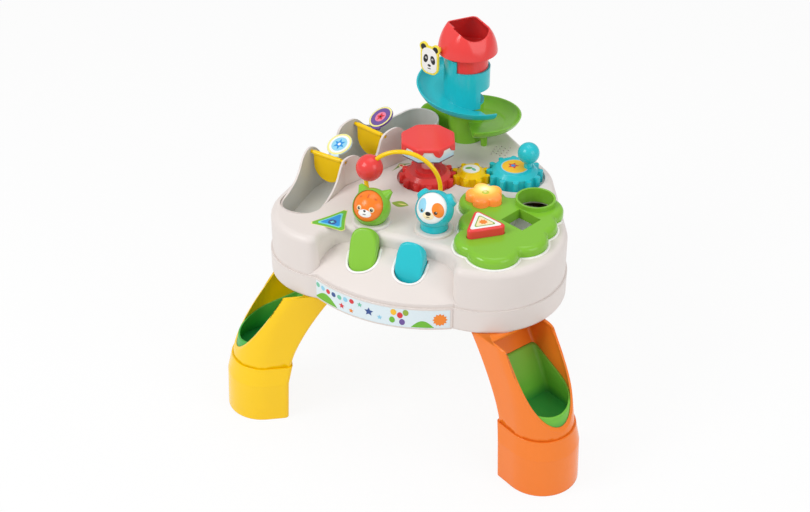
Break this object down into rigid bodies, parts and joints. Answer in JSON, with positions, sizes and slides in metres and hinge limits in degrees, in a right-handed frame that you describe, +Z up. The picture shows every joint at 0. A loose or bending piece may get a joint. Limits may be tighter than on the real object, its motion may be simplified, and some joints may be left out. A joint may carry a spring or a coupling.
{
  "type": "activity table",
  "caption": "Child's activity table on splayed legs: ball tower and run with flaps, geared carousel, pop-up heads with keys, shape sorter panel, bead arch.",
  "frame": {"origin": "on the floor under the middle of the whole box", "axes": "+X to the right as the child at the front sees it, -Y towards that child, +Z up"},
  "size_m": [0.5444, 0.49, 0.496],
  "materials": {
    "shell_white": "satin moulded plastic",
    "track_grey": "satin moulded plastic",
    "yellow": "glossy moulded plastic",
    "orange": "glossy moulded plastic",
    "lime": "glossy moulded plastic",
    "cup_green": "glossy moulded plastic",
    "pale_blue": "printed label on plastic",
    "purple": "printed label on plastic",
    "red": "glossy moulded plastic",
    "teal": "glossy moulded plastic",
    "face_white": "glossy moulded plastic",
    "amber": "translucent moulded plastic",
    "board_green": "coated laminate",
    "dark_plastic": "matte moulded plastic",
    "battery_metal": "printed sleeve",
    "steel": "plain steel",
    "badge_yellow": "glossy moulded plastic"
  },
  "bodies": {
    "table": {"lower_housing": "shell_white", "top_housing": "shell_white", "yellow_leg": "yellow", "yellow_boot": "yellow", "orange_leg": "orange", "orange_boot": "orange", "rear_leg": "lime", "rear_boot": "lime", "yellow_cup": "cup_green", "orange_cup": "cup_green", "ball_track": "track_grey", "ball_drop_tube": "shell_white", "gear_pins": "shell_white", "bead_arch": "yellow", "key_pins": "steel", "bush_panel": "lime", "sorter_chute": "shell_white", "circuit_board": "board_green", "button_contacts": "dark_plastic", "flower_lamp": "amber", "speaker": "dark_plastic", "batteries": "battery_metal", "battery_contacts": "steel", "battery_cover": "shell_white", "cover_screw": "steel", "housing_screws": "steel", "green_slide": "lime", "blue_slide": "teal", "tower_roof": "red", "badge": "badge_yellow"},
    "front_flap": {"front_flap": "yellow", "front_medallion": "pale_blue"},
    "rear_flap": {"rear_flap": "yellow", "rear_medallion": "purple"},
    "carousel": {"carousel_gear": "red", "carousel_column": "shell_white", "canopy_band": "pale_blue", "canopy_top": "red"},
    "idler": {"idler_gear": "yellow"},
    "crank": {"crank_gear": "teal", "crank_knob": "teal"},
    "bead": {"bead": "red"},
    "green_key": {"green_key": "lime"},
    "fox": {"fox_hood": "lime", "fox_face": "orange"},
    "teal_key": {"teal_key": "teal"},
    "dog": {"dog_hood": "teal", "dog_face": "face_white"},
    "flower_button": {"flower_button": "amber"},
    "triangle_button": {"triangle_button": "red"},
    "power_switch": {"power_switch": "dark_plastic"}
  },
  "joints": [
    {"name": "front_flap_swing", "type": "hinge", "parent": "table", "child": "front_flap", "pos_m": [-0.172, -0.038, 0.348], "axis": [0.9816, -0.1908, 0], "range_deg": [-40, 40]},
    {"name": "rear_flap_swing", "type": "hinge", "parent": "table", "child": "rear_flap", "pos_m": [-0.136, 0.034, 0.363], "axis": [0.9397, -0.342, 0], "range_deg": [-40, 40]},
    {"name": "carousel_spin", "type": "hinge", "parent": "table", "child": "carousel", "pos_m": [-0.0385, 0.0215, 0.31], "axis": [0, 0, 1], "continuous": true},
    {"name": "idler_spin", "type": "hinge", "parent": "table", "child": "idler", "pos_m": [0.01997, 0.04753, 0.31], "axis": [0, 0, 1], "continuous": true},
    {"name": "crank_spin", "type": "hinge", "parent": "table", "child": "crank", "pos_m": [0.07931, 0.07151, 0.31], "axis": [0, 0, 1], "continuous": true},
    {"name": "bead_slide", "type": "hinge", "parent": "table", "child": "bead", "pos_m": [-0.0475, -0.0525, 0.33603], "axis": [0.1798, -0.9837, 0], "range_deg": [-155, 24]},
    {"name": "green_key_press", "type": "hinge", "parent": "table", "child": "green_key", "pos_m": [-0.065, -0.147, 0.27595], "axis": [0.9781, 0.2079, 0], "range_deg": [0, 12]},
    {"name": "teal_key_press", "type": "hinge", "parent": "table", "child": "teal_key", "pos_m": [0.008, -0.1475, 0.27693], "axis": [0.9986, 0.0523, 0], "range_deg": [-12, 0]},
    {"name": "fox_rise", "type": "slide", "parent": "table", "child": "fox", "axis": [0, 0, 1], "range_m": [0, 0.00963]},
    {"name": "dog_rise", "type": "slide", "parent": "table", "child": "dog", "axis": [0, 0, 1], "range_m": [-0.00963, 0]},
    {"name": "flower_press", "type": "slide", "parent": "table", "child": "flower_button", "axis": [0, 0, 1], "range_m": [-0.003, 0], "stiffness_N_per_m": 400, "springref_m": 0.002},
    {"name": "triangle_press", "type": "slide", "parent": "table", "child": "triangle_button", "axis": [0, 0, 1], "range_m": [-0.004, 0], "stiffness_N_per_m": 400, "springref_m": 0.002},
    {"name": "power_slide", "type": "slide", "parent": "table", "child": "power_switch", "axis": [0, 1, 0], "range_m": [-0.004, 0.004]}
  ],
  "couplings": [
    {"joint": "idler_spin", "follows": "carousel_spin", "ratio": -1.5},
    {"joint": "crank_spin", "follows": "carousel_spin", "ratio": 1},
    {"joint": "green_key_press", "follows": "fox_rise", "rad_per_m": 21.739},
    {"joint": "teal_key_press", "follows": "dog_rise", "rad_per_m": 21.739}
  ]
}
